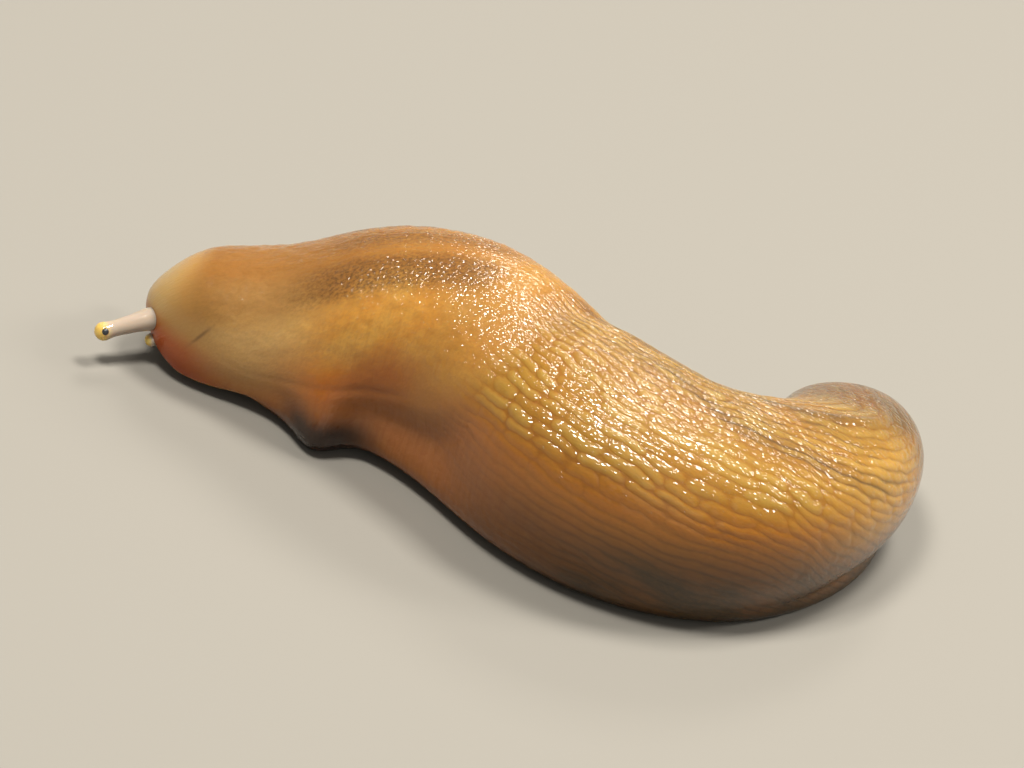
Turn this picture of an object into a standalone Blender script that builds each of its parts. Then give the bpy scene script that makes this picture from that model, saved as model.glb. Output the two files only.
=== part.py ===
"""Keelback slug at rest: a life-size model, half drawn in, its tail bent round to its right.

The slug faces -X and its left flank faces -Y. All the constants are in millimetres, and the finished meshes are
scaled to metres. The body is a loft of D-shaped sections along a bent middle line. A thin mantle shield lies over
its front half, the foot is a flat strip below it, and the feelers stand in shallow sheaths at the head.
"""

import math

import bmesh
import bpy
import numpy as np
from mathutils import Matrix, Vector

MM = 0.001

# The middle line on the floor plane, the body's half width, the height of its back and the lift of its underside.
STATIONS = (
    # x, y, half width, back, underside
    (-15.4, -1.6, 1.9, 3.6, 1.2),
    (-14.2, -1.6, 2.2, 4.4, 0.7),
    (-12.4, -1.6, 2.8, 5.1, 0.5),
    (-10.4, -1.7, 3.1, 5.9, 0.7),
    (-8.0, -1.9, 3.7, 7.4, 0.8),
    (-5.2, -2.3, 3.9, 8.7, 0.8),
    (-2.4, -3.3, 4.1, 9.2, 0.8),
    (-0.2, -4.7, 4.3, 8.9, 0.8),
    (2.0, -6.2, 4.7, 8.6, 0.8),
    (4.7, -7.3, 4.9, 8.4, 0.8),
    (7.6, -7.1, 4.8, 7.9, 0.8),
    (10.2, -5.5, 4.2, 7.3, 0.8),
    (12.1, -3.0, 3.6, 6.6, 0.8),
    (12.9, -0.1, 3.3, 5.8, 0.8),
    (12.7, 2.8, 2.8, 4.8, 0.8),
    (12.0, 5.2, 2.0, 3.3, 0.8),
)
MIDDLE = (-0.4, -3.4)  # the middle of the whole slug's box on the floor, which becomes the origin
WAIST = 0.47  # where the flank is widest, as a share of the height
BACK_POWER = 2.15  # superellipse powers of the back and of the lower flank
FLANK_POWER = 2.3
FLANK_DEPTH = (1.7, 1.35)  # how far below the underside the lower flank's curve would close: trunk, then tail
DEPTH_CHANGE = (24.0, 31.0)
NOSE_ROUND = 2.2  # length over which the snout and the tail tip round off
TAIL_ROUND = 2.6

# Lengths of body along the middle line, from the snout.
HEAD = (0.0, 4.3)
TRUNK_FRONT = (4.6, 17.5)
TRUNK_MIDDLE = (17.8, 24.6)
TRUNK_REAR = (24.9, 31.6)
TAIL_FROM = 31.9
RING_STEP = 0.75

# Skin relief.
ROWS = 13  # rows of tubercles on each side, from the midline of the back to the foot
RIDGE = 0.17  # depth of the furrows between them
DIP = 0.11  # depth of the breaks along a row
KEEL_HEIGHT = 0.3
KEEL_FROM = 27.0
SEED = 5

# Edge of the mantle, as distance along the middle line and arc distance from the midline of the back, plus to the left.
MANTLE_EDGE = (
    (1.7, 0.0),
    (1.7, 1.3),
    (2.0, 2.6),
    (2.6, 3.8),
    (3.4, 4.8),
    (4.5, 5.6),
    (6.0, 6.4),
    (7.6, 7.0),
    (10.0, 7.5),
    (12.8, 7.5),
    (15.0, 6.8),
    (16.1, 5.3),
    (16.2, 3.7),
    (16.0, 2.1),
    (15.7, 0.6),
    (15.5, -0.9),
    (15.8, -2.6),
    (16.0, -4.4),
    (15.2, -6.0),
    (12.8, -7.1),
    (10.0, -7.3),
    (7.6, -7.0),
    (6.0, -6.4),
    (4.5, -5.6),
    (3.4, -4.8),
    (2.6, -3.8),
    (2.0, -2.6),
    (1.7, -1.3),
)
MANTLE_MIDDLE = 8.9
MANTLE_THICK = 0.8
MANTLE_RIM = 0.5  # radius of the rounded rim
MANTLE_PROUD = 0.45  # how far the mantle stands above the flank
MANTLE_GAP = 0.35
GROOVE = (-1.0, 0.45)  # the flank dips to the mantle's bed between these distances from the rim
FLANK_FALL = 1.8  # distance over which the flank falls away from the rim
BREATHING_PORE = (11.6, -5.4, 0.48)  # on the right side: along, arc, radius

# Foot: a strip with a flat sole.
FOOT_FROM = 4.7
FOOT_THICK = 0.5
FOOT_HALF_WIDTHS = ((4.7, 1.6), (6.0, 2.1), (8.0, 2.4), (12.0, 2.5), (17.0, 3.0), (21.5, 3.6), (26.0, 3.5), (31.0, 2.8),
                    (35.0, 2.4), (38.0, 1.9), (40.5, 1.4))
FOOT_LOBE = (8.5, 1.4, 1.6)  # the foot's edge spreads on the left here: along, length, extra width
FOOT_CUTS = ((4.7, 16.9), (17.2, 29.4), (29.7, 38.6))
FOOT_FRINGE = 0.28
LOBE_FLARE = 0.8  # share of the lobe's extra width that the flank above it takes on
FLARE_HEIGHTS = (1.0, 4.6)  # all of it at the lower height, none above the upper one

# Head.
ORAL_LOBE = ((-13.55, -1.65, 1.45), (1.25, 1.75, 1.0))  # the swelling below the snout: middle and half sizes
LIPS = (((-14.62, -1.95, 1.05), (0.32, 0.42, 0.3)), ((-14.62, -1.3, 1.05), (0.32, 0.42, 0.3)))
MOUTH = ((-14.85, -1.62, 1.32), (0.5, 0.62, 0.1))

# Feelers: root, the way it points, length, root radius, shaft radius, knob radius.
UPPER_LEFT = ((-14.95, -2.72, 1.95), (-1.42, -1.0, -0.42), 2.45, 0.46, 0.33, 0.39)
UPPER_RIGHT = ((-14.35, -0.05, 2.1), (-0.15, 1.0, -0.3), 1.45, 0.44, 0.33, 0.38)
LOWER_LEFT = ((-14.35, -2.55, 1.15), (-1.0, -0.7, -0.2), 0.75, 0.3, 0.26, 0.28)
LOWER_RIGHT = ((-14.35, -0.75, 1.15), (-1.0, 0.7, -0.2), 0.75, 0.3, 0.26, 0.28)
SHEATH_GAP = 0.12
EYE_RADIUS = 0.15
EYE_OUT = 0.3  # from the middle of the knob
EYE_GAP = 0.05
EYE_SIDE_LEFT = (0.25, -1.0, 0.55)
EYE_SIDE_RIGHT = (-0.3, 0.35, 1.0)


def smooth(value, low, high):
    t = np.clip((value - low) / (high - low), 0, 1)
    return t * t * (3 - 2 * t)


def natural_spline(knots, values, at):
    """Smooth curve through the values at the knots."""
    knots = np.asarray(knots, float)
    values = np.asarray(values, float)
    count = len(knots)
    gaps = np.diff(knots)
    matrix = np.zeros((count, count))
    right = np.zeros((count,) + values.shape[1:])
    matrix[0, 0] = 1
    matrix[-1, -1] = 1
    slopes = np.diff(values, axis=0) / gaps.reshape((-1,) + (1,) * (values.ndim - 1))
    for i in range(1, count - 1):
        matrix[i, i - 1] = gaps[i - 1]
        matrix[i, i] = 2 * (gaps[i - 1] + gaps[i])
        matrix[i, i + 1] = gaps[i]
        right[i] = 6 * (slopes[i] - slopes[i - 1])
    bends = np.linalg.solve(matrix, right)
    at = np.atleast_1d(np.asarray(at, float))
    k = np.clip(np.searchsorted(knots, at) - 1, 0, count - 2)
    shape = (-1,) + (1,) * (values.ndim - 1)
    u = (at - knots[k]).reshape(shape)
    w = (knots[k + 1] - at).reshape(shape)
    gap = gaps[k].reshape(shape)
    cubic = (bends[k] * w**3 + bends[k + 1] * u**3) / (6 * gap)
    return cubic + (values[k] / gap - bends[k] * gap / 6) * w + (values[k + 1] / gap - bends[k + 1] * gap / 6) * u


TABLE = np.array(STATIONS)
ALONG = np.concatenate([[0], np.cumsum(np.hypot(*np.diff(TABLE[:, :2], axis=0).T))])
LENGTH = float(ALONG[-1])


def middle_line(s):
    """At distance s from the snout: the point, the way along, the way to the slug's left, and the section's sizes."""
    row = natural_spline(ALONG, TABLE, s)[0]
    step = natural_spline(ALONG, TABLE[:, :2], [max(s - 0.02, 0), min(s + 0.02, LENGTH)])
    way = step[1] - step[0]
    way = way / np.linalg.norm(way)
    return row[:2] - np.array(MIDDLE), way, np.array([way[1], -way[0]]), row[2], row[3], row[4]


def section(s, count=90):
    """Half section from the back's midline to the corner of the underside: sideways x, height z and arc distance."""
    _, _, _, half, back, low = middle_line(s)
    nose = min(max(1 - s / NOSE_ROUND, 0), 1)
    tail = min(max(1 - (LENGTH - s) / TAIL_ROUND, 0), 1)
    closing = math.sqrt(max(1 - nose**2, 0)) * math.sqrt(max(1 - tail**2, 0))
    waist = low + WAIST * (back - low)
    top = (back - waist) * closing
    reach = FLANK_DEPTH[0] + (FLANK_DEPTH[1] - FLANK_DEPTH[0]) * smooth(s, *DEPTH_CHANGE)
    depth = (waist - low) * closing * reach
    last = math.acos(-((1 / reach) ** (FLANK_POWER / 2)))
    angle = np.linspace(0, last, count)
    c = np.cos(angle)
    upper = top * np.maximum(c, 0) ** (2 / BACK_POWER)
    lower = depth * np.maximum(-c, 0) ** (2 / FLANK_POWER)
    power = np.where(c >= 0, 2 / BACK_POWER, 2 / FLANK_POWER)
    x = half * closing * np.sin(angle) ** power
    z = waist + upper - lower
    arc = np.concatenate([[0], np.cumsum(np.hypot(np.diff(x), np.diff(z)))])
    return x, z, arc


def lobe_width(s):
    """Extra width of the foot's lobe at distance s."""
    along, spread, extra = FOOT_LOBE
    return extra * math.exp(-(((s - along) / spread) ** 2))


def skin_points(s, arcs, depths, seat=None):
    """Points of the section at s, at signed arc distances (plus is the slug's left), sunk by the depths.

    With a seat, the section stands parallel to the one at the seat, so that the slit between two lengths is even.
    """
    x, z, arc = section(s)
    place, way, left, *_ = middle_line(s if seat is None else seat)
    if seat is not None:
        place = place + way * (s - seat)
    side = np.where(np.asarray(arcs) < 0, -1.0, 1.0)
    far = np.abs(arcs)
    px = np.interp(far, arc, x)
    pz = np.interp(far, arc, z)
    dx = np.interp(far, arc, np.gradient(x, arc))
    dz = np.interp(far, arc, np.gradient(z, arc))
    size = np.maximum(np.hypot(dx, dz), 1e-9)
    px = px + dz / size * depths
    pz = pz - dx / size * depths
    px = side * (px + (side > 0) * LOBE_FLARE * lobe_width(s) * (1 - smooth(pz, *FLARE_HEIGHTS)))
    return np.stack([place[0] + left[0] * px, place[1] + left[1] * px, pz], axis=1)


def mantle_outline(count):
    """Closed outline of the mantle in the plane of distance along and arc distance."""
    both = np.array(MANTLE_EDGE + MANTLE_EDGE[:1])
    run = np.concatenate([[0], np.cumsum(np.hypot(*np.diff(both, axis=0).T))])
    at = np.arange(count) / count * run[-1]
    # one spline through three rounds keeps the join smooth
    knots = np.concatenate([run[:-1] - run[-1], run[:-1], run + run[-1]])
    values = np.concatenate([both[:-1], both[:-1], both])
    return natural_spline(knots, values, at)


OUTLINE = mantle_outline(120)


def inside_mantle(s, arcs):
    """Distance of each point from the mantle's edge: plus inside, minus outside."""
    points = np.stack([np.full(len(arcs), float(s)), np.asarray(arcs, float)], axis=1)
    starts = OUTLINE
    ends = np.roll(OUTLINE, -1, axis=0)
    ways = ends - starts
    gap = points[:, None, :] - starts[None]
    share = np.clip((gap * ways).sum(2) / (ways * ways).sum(1), 0, 1)
    away = np.linalg.norm(gap - share[:, :, None] * ways, axis=2).min(1)
    above = (starts[None, :, 1] > points[:, None, 1]) != (ends[None, :, 1] > points[:, None, 1])
    rise = np.where(np.abs(ways[:, 1]) < 1e-9, 1e-9, ways[:, 1])
    crossing = starts[None, :, 0] + (points[:, None, 1] - starts[None, :, 1]) / rise * ways[None, :, 0]
    inside = ((above & (points[:, None, 0] < crossing)).sum(1) % 2) == 1
    return np.where(inside, away, -away)


def flank_depth(s, arcs):
    """How far the body's own surface lies below the outer skin: the mantle's bed, and the flank beside it."""
    edge = inside_mantle(s, arcs)
    low = 1 - smooth(np.abs(arcs) / section(s)[2][-1], 0.8, 1.0)
    beside = MANTLE_PROUD * smooth(s, 2.5, 5.0) * (1 - smooth(s, 15.0, 19.0)) * low * smooth(-edge, 0, FLANK_FALL)
    bed = MANTLE_THICK + MANTLE_GAP
    return beside + (bed - beside) * smooth(edge, *GROOVE)


def ring(s, index, chance, seat=None):
    """One section of the body with its rows of tubercles, and the flat underside."""
    total = section(s)[2][-1]
    steps = np.arange(-2 * ROWS, 2 * ROWS + 1)
    arcs = steps / (2 * ROWS) * total
    depth = flank_depth(s, arcs)
    bare = (1 - smooth(inside_mantle(s, arcs), -1.2, -0.3)) * smooth(s, 3.0, 6.0)
    low = 1 - 0.6 * smooth(np.abs(arcs) / total, 0.75, 1.0)
    size = min(1.0, total / 9.0)
    furrow = steps % 2 != 0
    breaks = ((steps // 2 + 2 * index) % 4 == 0) & ~furrow
    relief = np.where(furrow, RIDGE, np.where(breaks, DIP, 0.0)) + 0.03 * chance.random(len(steps)) * ~furrow
    keel = KEEL_HEIGHT * smooth(s, KEEL_FROM, KEEL_FROM + 6) * (1 - smooth(s, LENGTH - 2.0, LENGTH)) * (steps == 0)
    points = skin_points(s, arcs, depth + relief * bare * low * size - keel, seat)
    corner_left = points[-1]
    corner_right = points[0]
    share = np.linspace(0, 1, 7)[1:-1, None]
    return np.concatenate([points, corner_left + (corner_right - corner_left) * share])


def new_object(name, points, faces, collection):
    mesh = bpy.data.meshes.new(name)
    mesh.from_pydata([tuple(p) for p in points], [], faces)
    bm = bmesh.new()
    bm.from_mesh(mesh)
    bmesh.ops.recalc_face_normals(bm, faces=bm.faces)
    bm.to_mesh(mesh)
    bm.free()
    obj = bpy.data.objects.new(name, mesh)
    collection.objects.link(obj)
    return obj


def loft(name, rings, collection):
    """A closed solid through rings of equal length, with flat ends."""
    count = len(rings[0])
    faces = []
    for i in range(len(rings) - 1):
        for j in range(count):
            k = (j + 1) % count
            faces.append((i * count + j, i * count + k, (i + 1) * count + k, (i + 1) * count + j))
    faces.append(tuple(range(count)))
    last = (len(rings) - 1) * count
    faces.append(tuple(range(last + count - 1, last - 1, -1)))
    return new_object(name, np.concatenate(rings), faces, collection)


def body_length(name, start, end, collection, before=None):
    """A length of the body between two distances from the snout, rounded off at the snout and at the tail tip.

    Its first section stands parallel to the end of the length before it.
    """
    chance = np.random.default_rng(SEED + int(start))
    stops = list(np.linspace(start, end, max(2, round((end - start) / RING_STEP) + 1)))
    if start == 0:
        stops = [0.04, 0.16, 0.36, 0.66, 1.05, 1.5] + [s for s in stops if s > 1.8]
    if end == LENGTH:
        rounding = [1.9, 1.4, 0.95, 0.6, 0.33, 0.14, 0.04]
        stops = [s for s in stops if s < LENGTH - 2.2] + [LENGTH - back for back in rounding]
    seats = [before] + [None] * (len(stops) - 1)
    return loft(name, [ring(s, i, chance, seats[i]) for i, s in enumerate(stops)], collection)


def mantle_shield(collection):
    """The shield: outer and inner faces on a round grid that share the rim."""
    around = 56
    shares = (0.16, 0.32, 0.47, 0.6, 0.71, 0.8, 0.87, 0.92, 0.96, 0.985, 1.0)
    outline = mantle_outline(around)
    middle = np.array([MANTLE_MIDDLE, 0.0])
    reach = np.linalg.norm(outline - middle, axis=1)

    def face_point(share, j, way):
        s, arc = middle + share * (outline[j] - middle)
        q = min((1 - share) * reach[j] / MANTLE_RIM, 1)
        round_off = math.sqrt(max(1 - (1 - q) ** 2, 0))
        depth = MANTLE_THICK / 2 * (1 - way * round_off)
        return skin_points(s, np.array([arc]), np.array([depth]))[0]

    points = [face_point(0, 0, 1), face_point(0, 0, -1)]
    index = {}
    for way in (1, -1):
        for k, share in enumerate(shares):
            for j in range(around):
                if share == 1.0 and way == -1:
                    index[way, k, j] = index[1, k, j]
                    continue
                index[way, k, j] = len(points)
                points.append(face_point(share, j, way))
    faces = []
    for way, pole in ((1, 0), (-1, 1)):
        for j in range(around):
            n = (j + 1) % around
            faces.append((pole, index[way, 0, j], index[way, 0, n]))
            for k in range(len(shares) - 1):
                faces.append((index[way, k, j], index[way, k + 1, j], index[way, k + 1, n], index[way, k, n]))
    return new_object("mantle", points, faces, collection)


def foot_strip(name, start, end, collection):
    """A length of the foot: flat sole, a rounded fringe at each side, flat top below the body."""
    stops = list(np.linspace(start, end, max(2, round((end - start) / 0.7) + 1)))
    first = start == FOOT_CUTS[0][0]
    last = end == FOOT_CUTS[-1][1]
    if first:
        stops = [start + d for d in (0.02, 0.1, 0.25, 0.5, 0.85)] + [s for s in stops if s > start + 1.2]
    if last:
        stops = [s for s in stops if s < end - 1.6] + [end - d for d in (1.2, 0.85, 0.5, 0.25, 0.1, 0.02)]
    knots = [row[0] for row in FOOT_HALF_WIDTHS]
    widths = [row[1] for row in FOOT_HALF_WIDTHS]
    rings = []
    for s in stops:
        place, _, left, *_ = middle_line(s)
        half = float(natural_spline(knots, widths, s)[0])
        if first:
            half *= math.sqrt(max(1 - max(1 - (s - start) / 1.7, 0) ** 2, 0))
        if last:
            half *= math.sqrt(max(1 - max(1 - (end - s) / 2.0, 0) ** 2, 0))
        profile = []
        fringe = min(FOOT_FRINGE, half * 0.4)
        for side, wide in ((1, half + lobe_width(s)), (-1, half)):
            edge = [
                (wide - fringe, 0.0),
                (wide - 0.1 * fringe, 0.14 * FOOT_THICK),
                (wide, 0.38 * FOOT_THICK),
                (wide - 0.25 * fringe, 0.68 * FOOT_THICK),
                (wide - fringe, 0.92 * FOOT_THICK),
                (wide - 1.8 * fringe, FOOT_THICK),
            ]
            rows = [(side * x, z) for x, z in edge]
            profile += rows if side == 1 else rows[::-1]
        rings.append(np.array([(place[0] + left[0] * x, place[1] + left[1] * x, z) for x, z in profile]))
    return loft(name, rings, collection)


def ellipsoid(name, middle, halves, collection, turn=None):
    bpy.ops.mesh.primitive_uv_sphere_add(segments=24, ring_count=14, radius=1)
    obj = bpy.context.object
    obj.name = name
    shift = Vector((middle[0] - MIDDLE[0], middle[1] - MIDDLE[1], middle[2]))
    shape = Matrix.Diagonal((*halves, 1))
    obj.data.transform(Matrix.Translation(shift) @ (turn or Matrix.Identity(4)) @ shape)
    move_to(obj, collection)
    return obj


def move_to(obj, collection):
    for other in list(obj.users_collection):
        other.objects.unlink(obj)
    collection.objects.link(obj)


def apply_modifiers(obj):
    graph = bpy.context.evaluated_depsgraph_get()
    mesh = bpy.data.meshes.new_from_object(obj.evaluated_get(graph))
    obj.modifiers.clear()
    obj.data = mesh


def keep_largest(obj):
    """Drops the crumbs that a Boolean can leave."""
    bm = bmesh.new()
    bm.from_mesh(obj.data)
    seen = set()
    shells = []
    for face in bm.faces:
        if face in seen:
            continue
        shell = []
        stack = [face]
        seen.add(face)
        while stack:
            here = stack.pop()
            shell.append(here)
            for edge in here.edges:
                for other in edge.link_faces:
                    if other not in seen:
                        seen.add(other)
                        stack.append(other)
        shells.append(shell)
    shells.sort(key=lambda shell: sum(face.calc_area() for face in shell))
    for shell in shells[:-1]:
        bmesh.ops.delete(bm, geom=shell, context="FACES")
    bm.to_mesh(obj.data)
    bm.free()


def boolean(obj, other, operation):
    """Joins or cuts with an object, or with all the objects of a collection."""
    modifier = obj.modifiers.new(operation.lower(), "BOOLEAN")
    modifier.operation = operation
    modifier.solver = "EXACT"
    if isinstance(other, bpy.types.Collection):
        modifier.operand_type = "COLLECTION"
        modifier.collection = other
    else:
        modifier.object = other
    apply_modifiers(obj)
    keep_largest(obj)


def pointing(way):
    """Turns +Z to the given way."""
    return Vector(way).to_track_quat("Z", "Y").to_matrix().to_4x4()


def revolved(name, profile, matrix, collection):
    """A solid of revolution from (radius, height) points, placed by the matrix."""
    mesh = bpy.data.meshes.new(name)
    points = [(radius, 0, height) for radius, height in profile]
    mesh.from_pydata(points, [(i, i + 1) for i in range(len(points) - 1)], [])
    obj = bpy.data.objects.new(name, mesh)
    collection.objects.link(obj)
    screw = obj.modifiers.new("turned", "SCREW")
    screw.steps = 22
    screw.render_steps = 22
    screw.use_merge_vertices = True
    screw.merge_threshold = 0.0001
    apply_modifiers(obj)
    bm = bmesh.new()
    bm.from_mesh(obj.data)
    bmesh.ops.recalc_face_normals(bm, faces=bm.faces)
    bm.to_mesh(obj.data)
    bm.free()
    obj.data.transform(matrix)
    return obj


def feeler_frame(feeler):
    root, way, *_ = feeler
    return Matrix.Translation((root[0] - MIDDLE[0], root[1] - MIDDLE[1], root[2])) @ pointing(way)


def feeler_solid(name, feeler, collection):
    """A feeler from inside its sheath to its knob: root, shaft, knob with a round end."""
    _, _, length, root, shaft, knob = feeler
    neck = length - 1.7 * knob
    profile = [(0, -0.32), (0.8 * root, -0.32), (0.95 * root, -0.22), (root, 0.0)]
    if neck > 0.5:
        profile += [(0.5 * (root + shaft), 0.3 * neck), (shaft, 0.62 * neck), (1.02 * shaft, 0.85 * neck)]
    middle = length - knob
    for degrees in range(-40, 91, 13):
        a = math.radians(degrees)
        profile.append((knob * math.cos(a), middle + knob * math.sin(a)))
    profile[-1] = (0, length)
    return revolved(name, profile, feeler_frame(feeler), collection)


def sheath_cutter(name, feeler, collection):
    """The hollow in the head that a feeler comes out of."""
    root = feeler[3] + SHEATH_GAP
    low = -0.32 - SHEATH_GAP
    profile = [(0, low), (0.85 * root, low), (root, low + 0.14), (root, 0.1), (root + 0.15, 1.2), (0, 1.2)]
    return revolved(name, profile, feeler_frame(feeler), collection)


def eye_place(feeler, side):
    """The middle of the eye, near the surface of the knob."""
    frame = feeler_frame(feeler)
    knob = frame @ Vector((0, 0, feeler[2] - feeler[5]))
    return knob + Vector(side).normalized() * EYE_OUT


def ball(name, middle, radius, collection):
    bpy.ops.mesh.primitive_ico_sphere_add(subdivisions=3, radius=radius)
    obj = bpy.context.object
    obj.name = name
    obj.data.transform(Matrix.Translation(middle))
    move_to(obj, collection)
    return obj


def new_collection(name, cutters=False):
    collection = bpy.data.collections.new(name)
    bpy.context.scene.collection.children.link(collection)
    collection.hide_render = cutters
    return collection


def drop(collection):
    for obj in list(collection.objects):
        bpy.data.objects.remove(obj)
    bpy.data.collections.remove(collection)


def material(name, colour, roughness, subsurface=0.0):
    made = bpy.data.materials.new(name)
    made.use_nodes = True
    shader = made.node_tree.nodes["Principled BSDF"]
    shader.inputs["Base Color"].default_value = (*colour, 1)
    shader.inputs["Roughness"].default_value = roughness
    shader.inputs["Subsurface Weight"].default_value = subsurface
    made.diffuse_color = (*colour, 1)
    return made


def build_head(slug):
    """The snout, the swelling that carries the mouth, two lips, the mouth's slit and the feelers' sheaths."""
    head = body_length("head", *HEAD, slug)
    pieces = new_collection("head_pieces")
    ellipsoid("oral_lobe", *ORAL_LOBE, pieces)
    for number, lip in enumerate(LIPS):
        ellipsoid(f"lip_{number}", *lip, pieces)
    boolean(head, pieces, "UNION")
    drop(pieces)
    hollows = new_collection("head_hollows", cutters=True)
    ellipsoid("mouth_slit", *MOUTH, hollows)
    for name, feeler in (("ul", UPPER_LEFT), ("ur", UPPER_RIGHT), ("ll", LOWER_LEFT), ("lr", LOWER_RIGHT)):
        cutter = sheath_cutter(f"sheath_{name}", feeler, hollows)
        cutter.display_type = "WIRE"
    for cutter in list(hollows.objects):
        boolean(head, cutter, "DIFFERENCE")
    drop(hollows)
    return head


def build_feelers(slug):
    made = []
    for side, upper, lower, look in (
        ("left", UPPER_LEFT, LOWER_LEFT, EYE_SIDE_LEFT),
        ("right", UPPER_RIGHT, LOWER_RIGHT, EYE_SIDE_RIGHT),
    ):
        tall = feeler_solid(f"upper_feeler_{side}", upper, slug)
        short = feeler_solid(f"lower_feeler_{side}", lower, slug)
        hollows = new_collection(f"eye_hollow_{side}", cutters=True)
        socket = ball(f"socket_{side}", eye_place(upper, look), EYE_RADIUS + EYE_GAP, hollows)
        boolean(tall, socket, "DIFFERENCE")
        drop(hollows)
        eye = ball(f"eye_{side}", eye_place(upper, look), EYE_RADIUS, slug)
        made.append((tall, short, eye))
    return made


def build_mantle(slug):
    """The shield, with the breathing pore through its right side."""
    mantle = mantle_shield(slug)
    along, arc, radius = BREATHING_PORE
    outer, inner = (skin_points(along, np.array([arc]), np.array([depth]))[0] for depth in (0.0, 1.0))
    way = Vector(outer - inner)
    hollows = new_collection("pore_hollow", cutters=True)
    frame = Matrix.Translation(Vector(inner)) @ pointing(way) @ Matrix.Diagonal((1.35, 0.9, 1, 1))
    profile = [(0, -0.6), (radius, -0.6), (radius, 0.9), (radius + 0.25, 1.6), (0, 1.6)]
    cutter = revolved("pore", profile, frame, hollows)
    boolean(mantle, cutter, "DIFFERENCE")
    drop(hollows)
    return mantle


def main():
    for obj in list(bpy.data.objects):
        bpy.data.objects.remove(obj)
    slug = new_collection("keelback_slug")

    skins = {
        "head": material("head_skin", (0.62, 0.36, 0.12), 0.3, 0.3),
        "mantle": material("mantle_skin", (0.55, 0.27, 0.06), 0.3, 0.3),
        "trunk": material("trunk_skin", (0.5, 0.3, 0.1), 0.35, 0.3),
        "foot": material("foot_skin", (0.52, 0.36, 0.2), 0.4, 0.3),
        "feeler": material("feeler_skin", (0.5, 0.4, 0.36), 0.25, 0.4),
        "eye": material("eye_pigment", (0.01, 0.012, 0.015), 0.1),
    }

    head = build_head(slug)
    mantle = build_mantle(slug)
    trunk = [
        body_length("trunk_front", *TRUNK_FRONT, slug, HEAD[1]),
        body_length("trunk_middle", *TRUNK_MIDDLE, slug, TRUNK_FRONT[1]),
        body_length("trunk_rear", *TRUNK_REAR, slug, TRUNK_MIDDLE[1]),
        body_length("tail", TAIL_FROM, LENGTH, slug, TRUNK_REAR[1]),
    ]
    foot = [foot_strip(name, *cut, slug) for name, cut in zip(("foot_front", "foot_middle", "foot_rear"), FOOT_CUTS)]
    feelers = build_feelers(slug)

    wears = [(head, "head"), (mantle, "mantle")]
    wears += [(obj, "trunk") for obj in trunk]
    wears += [(obj, "foot") for obj in foot]
    for tall, short, eye in feelers:
        wears += [(tall, "feeler"), (short, "feeler"), (eye, "eye")]
    for obj, skin in wears:
        obj.data.materials.clear()
        obj.data.materials.append(skins[skin])
        obj.data.transform(Matrix.Scale(MM, 4))
        obj.data.update()


main()
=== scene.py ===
# %% [markdown]
# # A keelback slug, half drawn in
#
# This lesson dresses a life-size slug that already has plain solids. One skin is made by lofting D-shaped
# sections along a bent middle line, the mantle and the foot are part of that loft, and a Geometry Nodes
# group raises the rows of tubercles. The colours are painted by measurements kept on the skin: distance
# along, distance around, and so on.

import math

import bmesh
import bpy
import numpy as np
from mathutils import Matrix, Vector


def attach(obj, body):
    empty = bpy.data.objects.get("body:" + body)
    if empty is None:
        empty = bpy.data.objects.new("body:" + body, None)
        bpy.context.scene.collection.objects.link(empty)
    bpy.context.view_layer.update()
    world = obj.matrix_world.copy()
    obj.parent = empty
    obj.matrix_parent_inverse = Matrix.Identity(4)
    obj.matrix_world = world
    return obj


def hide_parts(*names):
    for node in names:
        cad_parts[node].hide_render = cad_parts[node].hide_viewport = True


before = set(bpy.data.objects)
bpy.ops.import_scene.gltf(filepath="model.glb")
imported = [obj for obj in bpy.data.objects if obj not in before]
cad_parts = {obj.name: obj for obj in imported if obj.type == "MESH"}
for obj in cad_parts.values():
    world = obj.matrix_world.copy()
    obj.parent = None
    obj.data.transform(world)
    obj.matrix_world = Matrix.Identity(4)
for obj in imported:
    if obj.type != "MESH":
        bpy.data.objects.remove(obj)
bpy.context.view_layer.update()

# %% [markdown]
# ## The form, in millimetres
#
# Each row of the table is one place along the body: where the middle line runs on the floor, half the
# body's width, the height of the back and the lift of the underside. A smooth curve through the rows gives
# every section in between.

# %% The body's measurements
MM = 0.001
STATIONS = (
    # x, y, half width, back, underside
    (-15.4, -1.6, 1.9, 3.6, 1.2),
    (-14.2, -1.6, 2.2, 4.4, 0.7),
    (-12.4, -1.6, 2.8, 5.1, 0.5),
    (-10.4, -1.7, 3.1, 5.9, 0.7),
    (-8.0, -1.9, 3.7, 7.4, 0.8),
    (-5.2, -2.3, 3.9, 8.7, 0.8),
    (-2.4, -3.3, 4.1, 9.2, 0.8),
    (-0.2, -4.7, 4.3, 8.9, 0.8),
    (2.0, -6.2, 4.7, 8.6, 0.8),
    (4.7, -7.3, 4.9, 8.4, 0.8),
    (7.6, -7.1, 4.8, 7.9, 0.8),
    (10.2, -5.5, 4.2, 7.3, 0.8),
    (12.1, -3.0, 3.6, 6.6, 0.8),
    (12.9, -0.1, 3.3, 5.8, 0.8),
    (12.7, 2.8, 2.8, 4.8, 0.8),
    (12.0, 5.2, 2.0, 3.3, 0.8),
)
MIDDLE = np.array([-0.4, -3.4])  # the middle of the slug's box, which is the origin
WAIST = 0.47  # where the flank is widest, as a share of the height
BACK_POWER = 2.15
FLANK_POWER = 2.3
FLANK_DEPTH = (1.7, 1.35)  # how full the lower flank is: trunk, then tail
DEPTH_CHANGE = (24.0, 31.0)
NOSE_ROUND = 2.2
TAIL_ROUND = 2.6

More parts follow.
